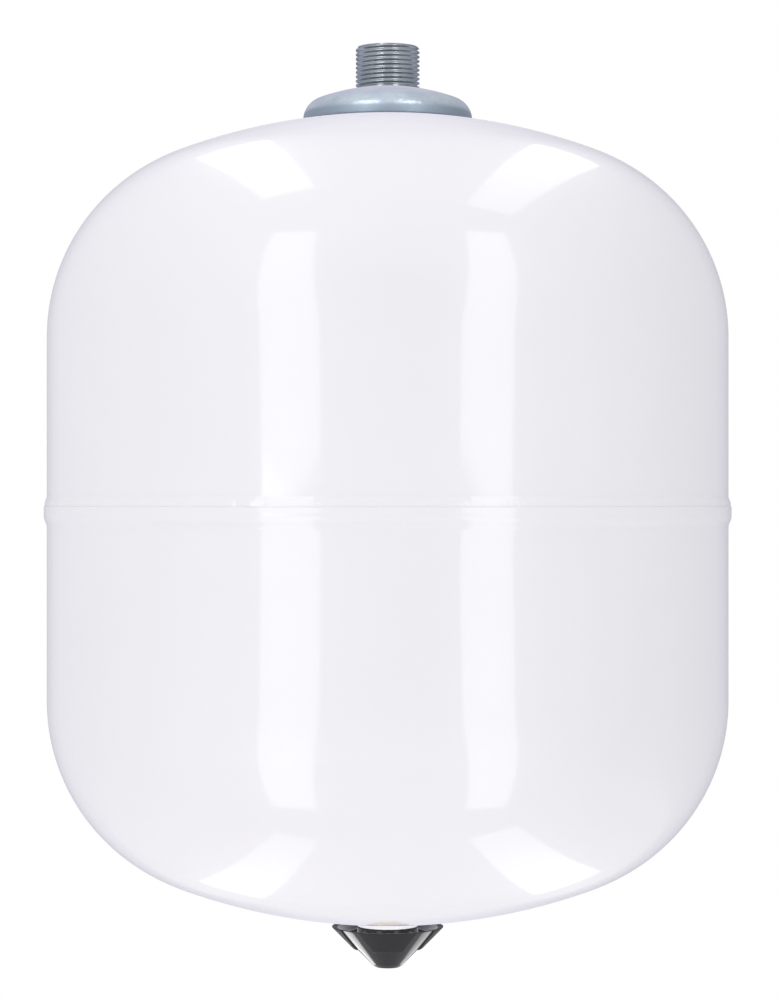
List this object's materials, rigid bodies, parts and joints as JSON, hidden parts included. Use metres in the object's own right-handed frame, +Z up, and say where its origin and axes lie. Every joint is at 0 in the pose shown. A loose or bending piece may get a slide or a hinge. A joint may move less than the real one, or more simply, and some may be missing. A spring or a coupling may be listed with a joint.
{
  "type": "expansion vessel",
  "caption": "Upright steel diaphragm expansion vessel with dished ends, a welded mid seam, a threaded pipe nipple on a domed flange above and a conical gas-valve cap below.",
  "frame": {"origin": "centre of the nipple's mouth, the top of the vessel", "axes": "+Z up along the vessel's axis and out of the nipple; the vessel hangs below the origin"},
  "size_m": [0.2824, 0.2824, 0.38],
  "materials": {
    "white_paint": "gloss white powder coat",
    "painted_boss": "white paint over turned steel",
    "zinc_thread": "zinc-plated, cut thread",
    "zinc_plate": "bright zinc plate, blue passivated",
    "seal_rubber": "matt black EPDM",
    "liner_plastic": "natural polypropylene",
    "diaphragm_rubber": "moulded butyl rubber",
    "band_steel": "rolled strip",
    "spring_steel": "drawn wire",
    "valve_brass": "turned brass",
    "black_plastic": "moulded gloss black"
  },
  "bodies": {
    "vessel": {"upper_shell": "white_paint", "lower_shell": "white_paint", "seam_weld": "white_paint", "threaded_nipple": "zinc_thread", "connection_flange": "zinc_plate", "connection_gasket": "seal_rubber", "water_liner": "liner_plastic", "diaphragm_bead": "diaphragm_rubber", "clench_ring": "band_steel", "diaphragm_wall": "diaphragm_rubber", "valve_boss": "painted_boss", "boss_weld": "white_paint", "valve_body": "valve_brass", "valve_body_seal": "seal_rubber", "valve_core_body": "valve_brass", "valve_core_seal": "seal_rubber", "valve_spring": "spring_steel"},
    "diaphragm": {"diaphragm_crown": "diaphragm_rubber"},
    "valve_plunger": {"valve_pin": "valve_brass", "valve_pin_seal": "seal_rubber"},
    "cap_ring": {"cap_seal": "seal_rubber"},
    "cap": {"valve_cap": "black_plastic"}
  },
  "joints": [
    {"name": "diaphragm_travel", "type": "slide", "parent": "vessel", "child": "diaphragm", "axis": [0, 0, -1], "range_m": [0, 0.055], "stiffness_N_per_m": 400, "springref_m": -0.02, "deforming": ["diaphragm_wall"]},
    {"name": "pin_press", "type": "slide", "parent": "vessel", "child": "valve_plunger", "axis": [0, 0, 1], "range_m": [0, 0.0012], "stiffness_N_per_m": 1000, "springref_m": -0.002, "deforming": ["valve_spring"]},
    {"name": "cap_lift", "type": "slide", "parent": "vessel", "child": "cap_ring", "axis": [0, 0, -1], "range_m": [0, 0.009]},
    {"name": "cap_turn", "type": "hinge", "parent": "cap_ring", "child": "cap", "pos_m": [0, 0, -0.3715], "axis": [0, 0, -1], "range_deg": [0, 2160]}
  ],
  "couplings": [
    {"joint": "cap_lift", "follows": "cap_turn", "m_per_rad": 0.00023873}
  ]
}
